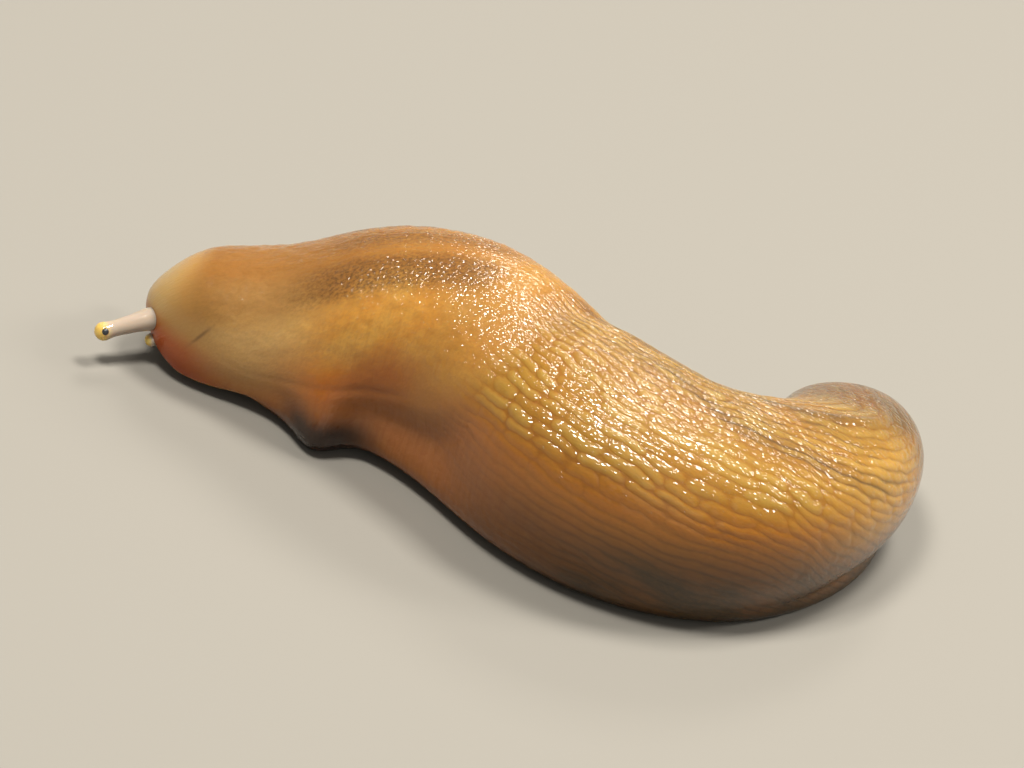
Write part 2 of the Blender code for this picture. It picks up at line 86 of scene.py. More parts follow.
FOOT_FROM = 4.7
FOOT_ROUND = (1.7, 2.0)  # how long its front end and its rear end round over
FOOT_HALF_WIDTHS = (
    (4.7, 1.6), (6.0, 2.1), (8.0, 2.4), (12.0, 2.5), (17.0, 3.0), (21.5, 3.6), (26.0, 3.5), (31.0, 2.8),
    (35.0, 2.4), (38.0, 1.9), (40.5, 1.4),
)
FOOT_LOBE = (8.5, 1.4, 1.6)  # along, length, extra width on the left
FRINGE = 0.3  # the soft rim of the foot
print(len(STATIONS), "stations along the body")

# %% [markdown]
# The mantle's edge, the keel line and the rows of tubercles are drawn on the unrolled skin: the first
# number is the distance along the body, the second the distance around it, plus to the slug's left.

# %% The lines on the skin
MANTLE_EDGE = (
    (1.7, 0.0), (1.7, 1.3), (2.0, 2.6), (2.6, 3.8), (3.4, 4.8), (4.5, 5.6), (6.0, 6.4), (7.6, 7.0),
    (10.0, 7.5), (12.8, 7.5), (15.0, 6.8), (16.1, 5.3), (16.2, 3.7), (16.0, 2.1), (15.7, 0.6), (15.5, -0.9),
    (15.8, -2.6), (16.0, -4.4), (15.2, -6.0), (12.8, -7.1), (10.0, -7.3), (7.6, -7.0), (6.0, -6.4),
    (4.5, -5.6), (3.4, -4.8), (2.6, -3.8), (2.0, -2.6), (1.7, -1.3),
)
BREATHING_PORE = (11.6, -5.4, 0.36)  # on the right side: along, around, radius
ROW_WIDTHS = (0.36, 0.011)  # of a row: at the keel line, and what each millimetre down the flank adds
ROW_SLANT = (0.35, 0.013)  # how fast the rows run down behind the mantle, and how soon that ends
ROW_SLANT_ALONG = (16.0, 29.0)  # where the slant begins, and where it has reached its end
ROW_SLANT_AROUND = 5.0  # how far from the keel line it is fully there
# the body is twisted a little, so the keel line leans away from the middle of the back
KEEL_LEAN = (
    (0, 0.0), (8, 0.0), (12, -0.6), (16, -2.0), (20, -2.6), (23, -2.5), (26, -1.7), (28, -0.6), (30, 0.4),
    (32, 1.1), (35, 0.6), (38, 0.0), (40, 0.0),
)
print(len(MANTLE_EDGE), "points on the mantle's edge")


# %% [markdown]
# ## Sections along a curve
#
# A natural cubic spline bends as little as it can while it passes through its knots, which suits soft
# flesh. A section is a superellipse above the waist and a fuller curve below it.

# %% Curves and sections
def smooth(value, low, high):
    t = np.clip((value - low) / (high - low), 0, 1)
    return t * t * (3 - 2 * t)


def natural_spline(knots, values, at):
    """Smooth curve through the values at the knots."""
    knots = np.asarray(knots, float)
    values = np.asarray(values, float)
    count = len(knots)
    gaps = np.diff(knots)
    spread = (-1,) + (1,) * (values.ndim - 1)
    slopes = np.diff(values, axis=0) / gaps.reshape(spread)
    matrix = np.eye(count)
    right = np.zeros_like(values)
    for i in range(1, count - 1):
        matrix[i, i - 1:i + 2] = gaps[i - 1], 2 * (gaps[i - 1] + gaps[i]), gaps[i]
        right[i] = 6 * (slopes[i] - slopes[i - 1])
    bends = np.linalg.solve(matrix, right)
    at = np.atleast_1d(np.asarray(at, float))
    k = np.clip(np.searchsorted(knots, at) - 1, 0, count - 2)
    u = (at - knots[k]).reshape(spread)
    w = (knots[k + 1] - at).reshape(spread)
    gap = gaps[k].reshape(spread)
    cubic = (bends[k] * w**3 + bends[k + 1] * u**3) / (6 * gap)
    before = (values[k] / gap - bends[k] * gap / 6) * w
    after = (values[k + 1] / gap - bends[k + 1] * gap / 6) * u
    return cubic + before + after


TABLE = np.array(STATIONS)
ALONG = np.concatenate([[0], np.cumsum(np.hypot(*np.diff(TABLE[:, :2], axis=0).T))])
LENGTH = float(ALONG[-1])


def middle_line(s):
    """At distance s from the snout: the point, the way to the slug's left, and the section's sizes."""
    row = natural_spline(ALONG, TABLE, s)[0]
    step = natural_spline(ALONG, TABLE[:, :2], [max(s - 0.02, 0), min(s + 0.02, LENGTH)])
    way = step[1] - step[0]
    way = way / np.linalg.norm(way)
    return row[:2] - MIDDLE, np.array([way[1], -way[0]]), row[2:]


def section(s, count=90):
    """Half section from the midline of the back to the underside's corner: sideways, height, arc distance."""
    half, back, low = middle_line(s)[2]
    nose = min(max(1 - s / NOSE_ROUND, 0), 1)
    tail = min(max(1 - (LENGTH - s) / TAIL_ROUND, 0), 1)
    closing = math.sqrt(max(1 - nose**2, 0)) * math.sqrt(max(1 - tail**2, 0))
    waist = low + WAIST * (back - low)
    full = FLANK_DEPTH[0] + (FLANK_DEPTH[1] - FLANK_DEPTH[0]) * smooth(s, *DEPTH_CHANGE)
    angle = np.linspace(0, math.acos(-((1 / full) ** (FLANK_POWER / 2))), count)
    c = np.cos(angle)
    upper = (back - waist) * closing * np.maximum(c, 0) ** (2 / BACK_POWER)
    lower = (waist - low) * closing * full * np.maximum(-c, 0) ** (2 / FLANK_POWER)
    x = half * closing * np.sin(angle) ** np.where(c >= 0, 2 / BACK_POWER, 2 / FLANK_POWER)
    z = waist + upper - lower
    return x, z, np.concatenate([[0], np.cumsum(np.hypot(np.diff(x), np.diff(z)))])


print(f"the slug is {LENGTH:.1f} mm along its middle line")


# %% [markdown]
# ## The mantle's edge
#
# The edge is a closed curve on the unrolled skin. The distance of a point from it, counted positive
# inside, says where the mantle stands proud, where its rim rounds over and where the crease under it runs.

# %% Distance from the mantle's edge
def mantle_outline(count):
    ring = np.array(MANTLE_EDGE + MANTLE_EDGE[:1])
    run = np.concatenate([[0], np.cumsum(np.hypot(*np.diff(ring, axis=0).T))])
    knots = np.concatenate([run[:-1] - run[-1], run[:-1], run + run[-1]])
    values = np.concatenate([ring[:-1], ring[:-1], ring])
    return natural_spline(knots, values, np.arange(count) / count * run[-1])


OUTLINE = mantle_outline(120)


def inside_mantle(s, arcs):
    """Distance of each point from the mantle's edge: plus inside, minus outside."""
    points = np.stack([np.full(len(arcs), float(s)), arcs], axis=1)
    ways = np.roll(OUTLINE, -1, axis=0) - OUTLINE
    gap = points[:, None, :] - OUTLINE[None]
    share = np.clip((gap * ways).sum(2) / (ways * ways).sum(1), 0, 1)
    away = np.linalg.norm(gap - share[:, :, None] * ways, axis=2).min(1)
    above = (OUTLINE[:, 1] > points[:, 1:]) != ((OUTLINE + ways)[:, 1] > points[:, 1:])
    rise = np.where(np.abs(ways[:, 1]) < 1e-9, 1e-9, ways[:, 1])
    crossing = OUTLINE[:, 0] + (points[:, 1:] - OUTLINE[:, 1]) / rise * ways[:, 0]
    inside = ((above & (points[:, :1] < crossing)).sum(1) % 2) == 1
    return np.where(inside, away, -away)


print("the mantle covers", round(OUTLINE[:, 0].max() - OUTLINE[:, 0].min(), 1), "mm of the back")


# %% [markdown]
# The flank beside the mantle lies lower than the mantle does. The edge itself is firm on the sides and on
# the lobe at the rear, where it rounds over above a crease, and soft everywhere else.

# %% Depth of the skin round the mantle
MANTLE_PROUD = 0.45
FLANK_SINKS = (2.5, 5.0)  # along, where the flank begins to lie lower
FLANK_RISES = (15.0, 19.0)  # along, where it comes level again
FLANK_ENDS = (0.8, 1.0)  # down, as a share of the way to the foot
SINK_WIDTH = 1.8
EDGE_FIRMNESS = (0.1, 0.35, 0.25)  # everywhere, more on the sides, more on the rear lobe
EDGE_FIRMS = (3.0, 9.0)  # along, on the sides
EDGE_SOFTENS = (11.0, 14.0)
EDGE_ROUND = 0.8
EDGE_HEIGHT = 0.2
REAR_LOBE = (13.0, 15.5)
REAR_LOBE_MIDDLE = -0.8  # around
REAR_LOBE_WIDTH = 2.2
CREASE_DEPTH = 0.07
CREASE_WIDTH = 0.22


def skin_depth(s, arcs, edge):
    """How far the skin lies below the outer form."""
    low = 1 - smooth(np.abs(arcs) / section(s)[2][-1], *FLANK_ENDS)
    flank = MANTLE_PROUD * smooth(s, *FLANK_SINKS) * (1 - smooth(s, *FLANK_RISES)) * low
    lobe = smooth(s, *REAR_LOBE) * np.exp(-(((arcs - REAR_LOBE_MIDDLE) / REAR_LOBE_WIDTH) ** 2))
    least, sides, rear = EDGE_FIRMNESS
    firm = least + sides * smooth(s, *EDGE_FIRMS) * (1 - smooth(s, *EDGE_SOFTENS)) + rear * lobe
    rounded = 1 - np.sqrt(np.clip(1 - (1 - np.clip(edge / EDGE_ROUND, 0, 1)) ** 2, 0, 1))
    rim = EDGE_HEIGHT * firm
    outside = rim + (flank - rim) * smooth(-edge, 0, SINK_WIDTH)
    crease = CREASE_DEPTH * firm * np.exp(-((edge / CREASE_WIDTH) ** 2))
    return np.where(edge >= 0, rim * rounded, outside) + crease


print("the flank beside the mantle lies", MANTLE_PROUD, "mm lower")


# %% [markdown]
# ## One skin
#
# Each ring starts on the middle of the back, runs down the left flank, round the foot's fringe, across the
# sole and up the right flank. Every point also keeps its own measurements, which the textures read later.

# %% Loft the skin
BACK_POINTS = 88  # from the midline of the back to the corner above the foot, on each side
SMOOTH_GAP = 0.13  # between rings, under the mantle
ROUGH_GAP = 0.085  # between rings, on the trunk and tail
ROUGH_FROM = 14.0
BACK_CROWDING = 0.15  # how much closer together the points lie near the midline
FOOT_STEP = 0.25  # millimetres around that each point of the foot counts for
FOOT_FADE = 3  # points over which the foot's colour sets in
END_COUNT = 12  # rings that close each end
END_REACH = 0.6
END_GAP = 0.02  # from the last ring to the tip
END_CROWDING = 1.6


def foot_profile(s, side, corner):
    """From the corner of the flank round the fringe to the middle of the sole: sideways, height."""
    half = float(natural_spline(*zip(*FOOT_HALF_WIDTHS), s)[0])
    if side > 0:
        half += FOOT_LOBE[2] * math.exp(-(((s - FOOT_LOBE[0]) / FOOT_LOBE[1]) ** 2))
    front, rear = FOOT_ROUND
    half *= math.sqrt(max(1 - max(1 - (s - FOOT_FROM) / front, 0) ** 2, 0)) if s > FOOT_FROM else 0
    half *= math.sqrt(max(1 - max(1 - (LENGTH - 0.3 - s) / rear, 0) ** 2, 0))
    half = max(half, 0.2)
    fringe = min(FRINGE, 0.4 * half)
    x, z = corner
    foot = [(x + (half - x) * out, z * up) for out, up in ((0.15, 0.78), (0.4, 0.54), (0.7, 0.32))]
    foot += [(0.05 * x + 0.95 * half - 0.05, 0.13 * z), (half - 0.6 * fringe, 0.02)]
    foot += [((half - fringe) * k, 0.0) for k in (1.0, 0.8, 0.6, 0.4, 0.2, 0.08, 0.0)]
    steps = (0.97, 0.92, 0.86, 0.78, 0.7, 0.6, 0.5, 0.4, 0.3, 0.2, 0.1, 0.0)
    bare = [(x * k, z - 0.02 * (1 - k)) for k in steps]  # ahead of the foot and behind it
    there = smooth(s, FOOT_FROM, FOOT_FROM + 0.9) * (1 - smooth(s, LENGTH - 0.9, LENGTH - 0.35))
    return np.array(bare) * (1 - there) + np.array(foot) * there


def row_number(s, around):
    """Rows counted down each flank. They leave the keel line and slant down and back to the foot."""
    far = min(s, ROW_SLANT_ALONG[1]) - ROW_SLANT_ALONG[0]
    gone = ROW_SLANT[0] * far - ROW_SLANT[1] * far**2
    reach = np.abs(around)
    reach = np.maximum(reach - gone * (1 - np.exp(-reach / ROW_SLANT_AROUND)), 0)
    first, more = ROW_WIDTHS
    return 0.5 + np.sign(around) * np.log(1 + reach * more / first) / more


def flare(s, side, z):
    """How far the lower flank swells out over the lobe of the foot."""
    if side < 0:
        return 0 * z
    place, length, width = FOOT_LOBE
    return 0.8 * width * math.exp(-(((s - place) / length) ** 2)) * (1 - smooth(z, 1.0, 4.6))


def skin_ring(s):
    """Points of one ring, and along, around, row, edge, down and foot for each point."""
    place, left, _ = middle_line(s)
    x, z, arc = section(s)
    share = np.linspace(0, 1, BACK_POINTS)
    reach = (share + BACK_CROWDING * (share**2 - share)) * arc[-1]
    halves = []
    for side in (1, -1):
        arcs = side * reach
        edge = inside_mantle(s, arcs)
        depth = skin_depth(s, arcs, edge)
        px, pz = np.interp(reach, arc, x), np.interp(reach, arc, z)
        dx = np.interp(reach, arc, np.gradient(x, arc))
        dz = np.interp(reach, arc, np.gradient(z, arc))
        size = np.maximum(np.hypot(dx, dz), 1e-9)
        px, pz = px + dz / size * depth, pz - dx / size * depth
        px = px + flare(s, side, pz)
        low = foot_profile(s, side, (px[-1], pz[-1]))
        count = len(low)
        across = np.concatenate([px, low[:, 0]]) * side
        height = np.concatenate([pz, low[:, 1]])
        steps = np.arange(1, count + 1)
        around = side * np.concatenate([reach, arc[-1] + steps * FOOT_STEP])
        down = np.concatenate([reach / arc[-1], np.ones(count)])
        foot = np.concatenate([np.zeros(BACK_POINTS), np.minimum(steps / FOOT_FADE, 1)])
        edges = np.concatenate([edge, np.full(count, edge[-1])])
        halves.append(np.stack([across, height, around, down, edges, foot], axis=1))
    ring = np.concatenate([halves[0], halves[1][-2:0:-1]])
    points = np.stack([place[0] + left[0] * ring[:, 0], place[1] + left[1] * ring[:, 0], ring[:, 1]], axis=1)
    around = ring[:, 2] - float(natural_spline(*zip(*KEEL_LEAN), s)[0])
    along = np.full(len(ring), s)
    facts = (along, around, row_number(s, around), ring[:, 4], ring[:, 3], ring[:, 5])
    return points, np.stack(facts, axis=1)


def end_stops(share):
    """Places near an end, closer together towards the tip."""
    return END_GAP + END_REACH * share**END_CROWDING


stops = np.concatenate([
    end_stops(np.linspace(0, 1, END_COUNT, endpoint=False)),
    np.arange(END_GAP + END_REACH, ROUGH_FROM, SMOOTH_GAP),
    np.arange(ROUGH_FROM, LENGTH - END_GAP - END_REACH, ROUGH_GAP),
    LENGTH - end_stops(np.linspace(1, 0, END_COUNT)),
])
rings = [skin_ring(s) for s in stops]
skin_co = np.concatenate([ring[0] for ring in rings])
skin_facts = np.concatenate([ring[1] for ring in rings])
around_count = len(rings[0][0])
print(len(rings), "rings of", around_count, "points")


# %% [markdown]
# ## Head details
#
# Swelling the mesh outwards to an ellipsoid adds a soft lump without any seam. The lobe that carries the
# mouth and the two lips are made so, and the mouth's slit is pressed in the same way.

# %% Swell and press the head
ORAL_LOBE = ((-13.55, -1.65, 1.45), (1.25, 1.75, 1.0))
LIPS = (((-14.62, -1.95, 1.05), (0.32, 0.42, 0.3)), ((-14.62, -1.3, 1.05), (0.32, 0.42, 0.3)))
MOUTH = ((-14.85, -1.62, 1.32), (0.5, 0.62, 0.13))
MOUTH_DEPTH = 0.3
SOFT_MEETING = 1.6  # how far outside an ellipsoid the skin still moves, in its half sizes
PORE_LONG = 1.3  # the pore is this much longer than it is wide
PORE_RIM = (1.35, 0.2)  # how far out the rim stands, in radii, and its width


def in_frame(point):
    return np.array([point[0] - MIDDLE[0], point[1] - MIDDLE[1], point[2]])


def swell(points, middle, halves, sharp=8):
    """Moves the points that lie inside an ellipsoid out to it, with a soft meeting."""
    away = (points - in_frame(middle)) / halves
    far = np.maximum(np.linalg.norm(away, axis=1), 1e-6)
    new = (far**sharp + 1) ** (1 / sharp)
    near = far < SOFT_MEETING
    grown = in_frame(middle) + away * (new / far)[:, None] * halves
    return np.where(near[:, None], grown, points)


skin_co = swell(skin_co, *ORAL_LOBE)
for lip in LIPS:
    skin_co = swell(skin_co, *lip, sharp=6)
slit = np.linalg.norm((skin_co - in_frame(MOUTH[0])) / MOUTH[1], axis=1)
mouth = 1 - smooth(slit, 0.6, 1.15)
skin_co[:, 0] += MOUTH_DEPTH * mouth
print("points in the mouth's slit:", int((mouth > 0.5).sum()))

pore_along, pore_around, pore_radius = BREATHING_PORE
pore_far = np.hypot((skin_facts[:, 0] - pore_along) / PORE_LONG, skin_facts[:, 1] - pore_around)
pore = 1 - smooth(pore_far, 0.55 * pore_radius, pore_radius)
pore_rim = np.exp(-(((pore_far - PORE_RIM[0] * pore_radius) / PORE_RIM[1]) ** 2))
print("points in the breathing pore:", int((pore > 0.5).sum()))


# %% [markdown]
# ## Feelers
#
# Each feeler is a solid of revolution: a root inside its sheath, a shaft and a round knob. The left upper
# one is out. The right one and the two lower ones are drawn in.

# %% Make the feelers
FEELERS = {
    # root, way, length, radii of the root, the shaft and the knob
    "upper_left": ((-14.95, -2.72, 1.95), (-1.42, -1.0, -0.42), 2.45, 0.46, 0.35, 0.38),
    "upper_right": ((-14.35, -0.05, 2.1), (-0.15, 1.0, -0.3), 1.45, 0.44, 0.33, 0.38),
    "lower_left": ((-14.35, -2.55, 1.15), (-1.0, -0.7, -0.2), 0.75, 0.3, 0.26, 0.28),
    "lower_right": ((-14.35, -0.75, 1.15), (-1.0, 0.7, -0.2), 0.75, 0.3, 0.26, 0.28),
}
FEELER_SEGMENTS = 40
FEELER_STEP = 0.06  # from ring to ring
HIDDEN_ROOT = 0.3  # how deep a feeler is sunk in the head
KNOB_KNOTS = (-16, -4, 8)  # degrees above the knob's widest place, through which the side runs


def feeler_profile(length, root, shaft, knob):
    """(radius, height) from the hidden root to the tip."""
    def on_knob(degrees):
        turn = math.radians(degrees)
        return knob * math.cos(turn), length - knob + knob * math.sin(turn)

    neck = length - 1.7 * knob
    knots = [(0.9 * root, -HIDDEN_ROOT), (root, 0.0)]
    if neck > 0.5:
        knots += [(0.5 * (root + shaft), 0.3 * neck), (shaft, 0.65 * neck)]
    knots += [on_knob(degrees) for degrees in KNOB_KNOTS]
    radii, heights = zip(*knots)
    at = np.arange(-HIDDEN_ROOT, heights[-1], FEELER_STEP)
    side = [(float(natural_spline(heights, radii, h)[0]), h) for h in at]
    return side + [on_knob(degrees) for degrees in range(12, 88, 6)]


def feeler_frame(root, way):
    turn = Vector(way).to_track_quat("Z", "Y").to_matrix().to_4x4()
    return Matrix.Translation(in_frame(root)) @ turn


def feeler_mesh(feeler):
    """Points, faces and height share of one feeler."""
    root, way, length, *radii = feeler
    profile = feeler_profile(length, *radii)
    place = np.array(feeler_frame(root, way))
    turns = np.linspace(0, 2 * math.pi, FEELER_SEGMENTS, endpoint=False)
    points = [(r * math.cos(t), r * math.sin(t), h) for r, h in profile for t in turns]
    points += [(0, 0, profile[0][1]), (0, 0, length)]
    points = np.array(points) @ place[:3, :3].T + place[:3, 3]
    rows, n = len(profile), FEELER_SEGMENTS
    faces = []
    for low in range(0, (rows - 1) * n, n):
        faces += [(low + j, low + (j + 1) % n, low + n + (j + 1) % n, low + n + j) for j in range(n)]
    faces += [(rows * n, (j + 1) % n, j) for j in range(n)]
    faces += [(rows * n + 1, (rows - 1) * n + j, (rows - 1) * n + (j + 1) % n) for j in range(n)]
    share = [h / length for _, h in profile for _ in turns] + [profile[0][1] / length, 1.0]
    return points, faces, np.clip(share, 0, 1)


feelers = {name: feeler_mesh(shape) for name, shape in FEELERS.items()}
print("feeler points:", {name: len(parts[0]) for name, parts in feelers.items()})

# %% [markdown]
# ## Put the mesh together
#
# The rings are joined by faces, and a point closes each end.

# %% Faces of the skin
faces = []
for i in range(len(rings) - 1):
    a, b = i * around_count, (i + 1) * around_count
    for j in range(around_count):
        after = (j + 1) % around_count
        faces.append((a + j, a + after, b + after, b + j))
ends = []
for start, flip in ((0, False), ((len(rings) - 1) * around_count, True)):
    ends.append(skin_co[start:start + around_count].mean(axis=0))
    pole = len(skin_co) + len(ends) - 1
    for j in range(around_count):
        pair = (start + j, start + (j + 1) % around_count)
        faces.append((pole, *pair) if flip else (pole, *pair[::-1]))
print("skin faces:", len(faces))

# %% [markdown]
# The measurements become named attributes of the mesh. Blender keeps them through modifiers, so the same
# numbers can steer the relief and the colours.

# %% Build the skin mesh
BODY_FACTS = ("along", "around", "rows", "edge", "down", "foot")
NO_FEELER = -1.0

ends_facts = [skin_facts[:around_count].mean(axis=0), skin_facts[-around_count:].mean(axis=0)]
whole_facts = np.concatenate([skin_facts, ends_facts])
facts = {name: [whole_facts[:, i]] for i, name in enumerate(BODY_FACTS)}
for name, spots in (("mouth", mouth), ("pore", pore), ("pore_rim", pore_rim)):
    facts[name] = [spots, np.zeros(2)]
facts["feeler"] = [np.full(len(skin_co) + 2, NO_FEELER)]
all_co = [skin_co, np.array(ends)]
total = len(skin_co) + 2
for points, feeler_faces, share in feelers.values():
    faces += [tuple(v + total for v in face) for face in feeler_faces]
    all_co.append(points)
    for name, parts in facts.items():
        parts.append(share if name == "feeler" else np.zeros(len(points)))
    total += len(points)

mesh = bpy.data.meshes.new("slug_skin")
mesh.from_pydata((np.concatenate(all_co) * MM).tolist(), [], faces)
for name, parts in facts.items():
    attribute = mesh.attributes.new(name, "FLOAT", "POINT")
    attribute.data.foreach_set("value", np.concatenate(parts).astype(np.float32))
mesh.polygons.foreach_set("use_smooth", np.ones(len(mesh.polygons), bool))
edit = bmesh.new()
edit.from_mesh(mesh)
bmesh.ops.recalc_face_normals(edit, faces=edit.faces)
edit.to_mesh(mesh)
edit.free()
skin = bpy.data.objects.new("slug_skin", mesh)
bpy.context.scene.collection.objects.link(skin)
print("skin:", len(mesh.vertices), "points,", sum(len(p.vertices) - 2 for p in mesh.polygons), "triangles")


# %% [markdown]
# ## Small helpers for node trees
#
# Colours are given as sRGB hex numbers, as a paint program shows them, and turned to linear light once. One
# function adds any node. The others work with numbers: a product, a sum, a smooth step and a bell. They
# find the tree from the sockets they are given, so a formula reads like one.

# %% Node helpers
MATH = "ShaderNodeMath"


def colour(hex_text):
    """sRGB hex to linear RGBA."""
    parts = [int(hex_text[i:i + 2], 16) / 255 for i in (1, 3, 5)]
    return (*[p / 12.92 if p <= 0.04045 else ((p + 0.055) / 1.055) ** 2.4 for p in parts], 1.0)


def add(tree, kind, inputs=(), out=0, **settings):
    """Adds a node with its properties, fills its inputs from values, hex texts or sockets, gives an output.

    Inputs are a row in the sockets' order or a dictionary by the sockets' names or numbers.
    """
    node = tree.nodes.new(kind)
    for name, value in settings.items():
        setattr(node, name, value)
    for name, value in inputs.items() if isinstance(inputs, dict) else enumerate(inputs):
        socket = node.inputs[name]
        if isinstance(value, bpy.types.NodeSocket):
            tree.links.new(value, socket)
        elif isinstance(value, str) and value.startswith("#"):
            socket.default_value = colour(value)
        else:
            socket.default_value = value
    return node.outputs[out] if node.outputs else node


def tree_of(*values):
    """The node tree of the first socket among the values or inside a pair."""
    for value in values:
        tree = tree_of(*value) if isinstance(value, tuple) else getattr(value, "id_data", None)
        if tree:
            return tree
    return None


def times(*values):
    """The product of several values."""
    tree = tree_of(*values)
    product = values[0]
    for value in values[1:]:
        product = add(tree, MATH, (product, value), operation="MULTIPLY")
    return product


def plus(*terms):
    """The sum of several terms. A pair is multiplied first."""
    tree = tree_of(*terms)
    total = 0.0
    for term in terms:
        first, second = term if isinstance(term, tuple) else (term, 1.0)
        total = add(tree, MATH, (first, second, total), operation="MULTIPLY_ADD")
    return total


def one_minus(value):
    """What a value between 0 and 1 leaves of 1. A larger value leaves 0."""
    return add(tree_of(value), MATH, (1.0, value), operation="SUBTRACT", use_clamp=True)


def ramp(value, low, high, to_low=0.0, to_high=1.0):
    """Smooth step from one value to another, like the one for the sections."""
    inputs = {"Value": value, "From Min": low, "From Max": high, "To Min": to_low, "To Max": to_high}
    return add(tree_of(value), "ShaderNodeMapRange", inputs, interpolation_type="SMOOTHSTEP")


def bell(value, middle, width):
    """1 at the middle, falling off smoothly over the width."""
    away = times(plus(value, (middle, -1.0)), 1 / width)
    return add(tree_of(away), MATH, (times(away, away, -1.0),), operation="EXPONENT")


print("gold of the back in linear light:", [round(part, 3) for part in colour("#B88626")[:3]])


# %% [markdown]
# ## The pattern of tubercles
#
# The back carries long warts in rows. The rows are counted down the flank and swayed by noise, so the
# furrows between them wander. Along each row a one-dimensional Voronoi texture cuts the row into warts.
# The same function serves the relief, in Geometry Nodes, and the colours, in the material, so both fall
# on the same warts.

# %% Tubercle rows
WART_LENGTH = 1.3  # millimetres
USUAL_WIDTH = 0.5  # millimetres, of a row
SIDE_SLOPE = 0.22  # millimetres from a furrow up to the crown
END_SLOPE = 0.28  # millimetres from a wart's end up to the crown
FURROW_REACH = 0.15  # millimetres over which the colour of a furrow spreads
SWAY_SCALE = (0.33, 0.16)  # of slow noise, per millimetre along and per row
SWAY_ROWS = 2.6  # how far it shifts the rows
RIPPLE_SCALE = (1.1, 0.3)  # of quick noise
RIPPLE_ROWS = 0.9
RIPPLE_WARTS = 0.6  # how far it shifts the ends of the warts
RIPPLE_SLICE = 5.0  # another slice of the noise than the slow one's
ROW_APART = 57.0  # warts between one row's cuts and the next one's
ROW_RANDOM = 9.0  # warts
BREAKS = (2.0, 4.5, 0.35, 0.9)  # between these distances from the keel line the ends grow this much deeper


def tubercles(tree, along, rows, around):
    """The crown's height (0 in a furrow, 1 on top), a number for each wart, and nearness to long furrows."""
    slow = (times(along, SWAY_SCALE[0]), times(rows, SWAY_SCALE[1]))
    quick = (times(along, RIPPLE_SCALE[0]), times(rows, RIPPLE_SCALE[1]), RIPPLE_SLICE)
    shifts = []
    for place in (slow, quick):
        spot = add(tree, "ShaderNodeCombineXYZ", place)
        shifts.append(plus(add(tree, "ShaderNodeTexNoise", {"Vector": spot, "Scale": 1.0}), -0.5))
    sway, ripple = shifts
    y = plus(rows, (sway, SWAY_ROWS), (ripple, RIPPLE_ROWS))
    row = add(tree, MATH, (y,), operation="FLOOR")
    part = add(tree, MATH, (y,), operation="FRACT")
    across = add(tree, MATH, (part, one_minus(part)), operation="MINIMUM")
    across = times(across, USUAL_WIDTH)

    start = add(tree, "ShaderNodeTexWhiteNoise", {"W": row}, noise_dimensions="1D")
    x = plus((along, 1 / WART_LENGTH), (ripple, RIPPLE_WARTS), (start, ROW_RANDOM), (row, ROW_APART))
    cuts = {"W": x, "Scale": 1.0, "Randomness": 1.0}
    end = add(tree, "ShaderNodeTexVoronoi", cuts, voronoi_dimensions="1D", feature="DISTANCE_TO_EDGE")
    tint = add(tree, "ShaderNodeTexVoronoi", cuts, "Color", voronoi_dimensions="1D", feature="F1")
    number = add(tree, "ShaderNodeSeparateXYZ", (tint,), "X")

    side_fall = one_minus(times(across, 1 / SIDE_SLOPE))
    end_fall = one_minus(times(end, WART_LENGTH / END_SLOPE))
    # the ridges near the keel hardly break; farther down the flank each wart stands alone
    breaks = ramp(add(tree, MATH, (around,), operation="ABSOLUTE"), *BREAKS)
    fall = plus(times(end_fall, end_fall, breaks), (side_fall, side_fall))
    return one_minus(fall), number, ramp(across, 0.0, FURROW_REACH, 1.0, 0.0)


print("warts of", WART_LENGTH, "by", USUAL_WIDTH, "mm, long furrows between the rows")


# %% [markdown]
# Two more patterns are shared in the same way: where the mantle's colour ends, and the small cells of the
# lower flank.

# %% Mantle border and small cells
BORDER = (-1.7, 1.2, 0.7)  # from the edge: where colour begins, how much later at the keel, where it is full
BORDER_MIDDLE = -0.2
BORDER_WIDTH = 2.0
CELL_SIZE = (0.62, 0.36)  # millimetres along and around
CELL_RANDOM = 0.85
CELL_SEAM = 0.2


def mantle_share(edge, around):
    """1 on the mantle, 0 off it. The border is sharp near the keel line and fades softly on the flanks."""
    begins, later, full = BORDER
    sharp = bell(around, BORDER_MIDDLE, BORDER_WIDTH)
    return ramp(edge, plus(begins, (sharp, later)), full)


def small_cells(tree, along, around):
    """Nearness to the seams between the small cells of the lower flank."""
    place = (times(along, 1 / CELL_SIZE[0]), times(around, 1 / CELL_SIZE[1]))
    place = add(tree, "ShaderNodeCombineXYZ", place)
    cells = {"Vector": place, "Scale": 1.0, "Randomness": CELL_RANDOM}
    seam = add(tree, "ShaderNodeTexVoronoi", cells, voronoi_dimensions="2D", feature="DISTANCE_TO_EDGE")
    return ramp(seam, 0.0, CELL_SEAM, 1.0, 0.0)


print("small cells of", *CELL_SIZE, "mm")


# %% [markdown]
# ## Raise the relief with Geometry Nodes
#
# The group moves each point along its normal: up on a tubercle, down in a furrow, a keel along the tail,
# fine grain on the mantle. Its inputs are named, so the depths can be changed in one place.

# %% Relief group and its inputs
RELIEF_INPUTS = {"Tubercle height": 0.026, "Seam depth": 0.012, "Keel height": 0.26, "Mantle grain": 0.02}

